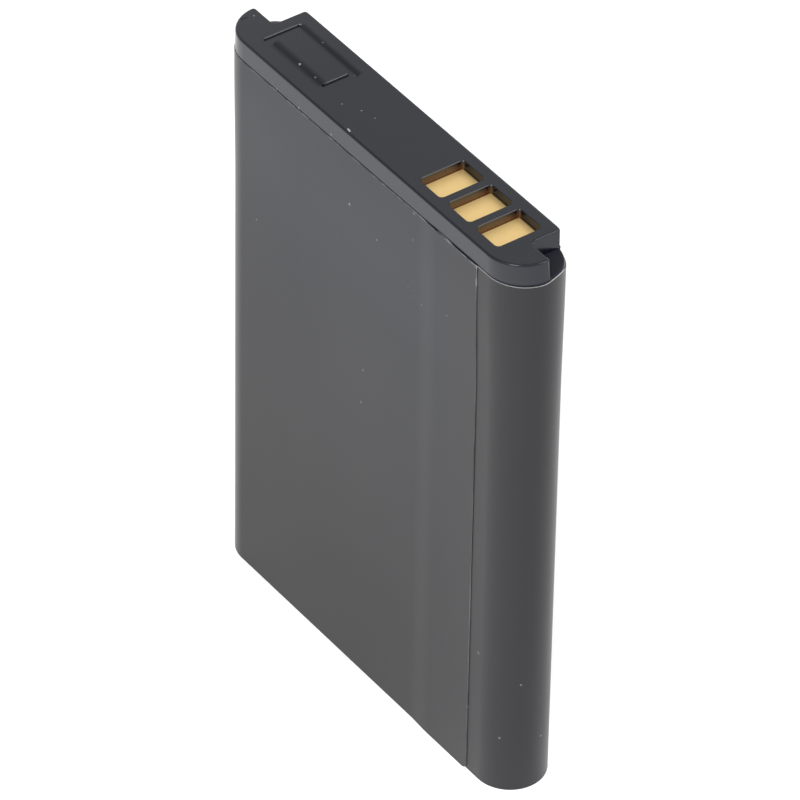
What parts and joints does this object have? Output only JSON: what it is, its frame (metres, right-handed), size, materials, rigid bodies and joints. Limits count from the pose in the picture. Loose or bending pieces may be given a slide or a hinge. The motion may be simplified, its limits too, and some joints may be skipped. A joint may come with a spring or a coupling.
{
  "type": "mobile phone battery",
  "caption": "Flat rechargeable phone battery: film-wrapped aluminium cell with half-round sides, and a moulded end cap with a row of recessed gilt contacts.",
  "frame": {"origin": "middle of the underside of the base plate, the end away from the contacts", "axes": "+Z along the height towards the cap with the contacts, +X along the width towards the end where the contacts are, +Y through the thickness from the face with the film's seam to the plain face"},
  "size_m": [0.0338, 0.0057, 0.046],
  "materials": {
    "film": "satin black plastic film with a pale cut edge",
    "cap_plastic": "fine-grained black moulded plastic, dusty",
    "gilt": "gold plating, lightly scratched",
    "can": "drawn bare aluminium",
    "nickel": "nickel strip, rolled",
    "board": "dark green solder resist on glass-filled board",
    "chip_case": "black moulded package",
    "small_part": "fired ceramic body",
    "cutoff_case": "dark coated case",
    "gasket": "black insulating gasket",
    "insulating_sheet": "pale fibre sheet",
    "tape": "double-sided tape"
  },
  "bodies": {
    "root": {"base_plate": "cap_plastic", "base_tape": "tape", "cell_can": "can", "lid_sheet": "insulating_sheet", "terminal_gasket": "gasket", "terminal_rivet": "nickel", "positive_strip": "nickel", "thermal_cutoff": "cutoff_case", "negative_strip": "nickel", "cutoff_strip": "nickel", "protection_board": "board", "control_chip": "chip_case", "switch_transistor": "chip_case", "supply_resistor": "small_part", "filter_capacitor": "small_part", "sense_resistor": "small_part", "identity_resistor": "small_part", "contact_negative": "gilt", "contact_identity": "gilt", "contact_positive": "gilt", "top_cap": "cap_plastic", "label_wrap": "film"}
  },
  "joints": []
}
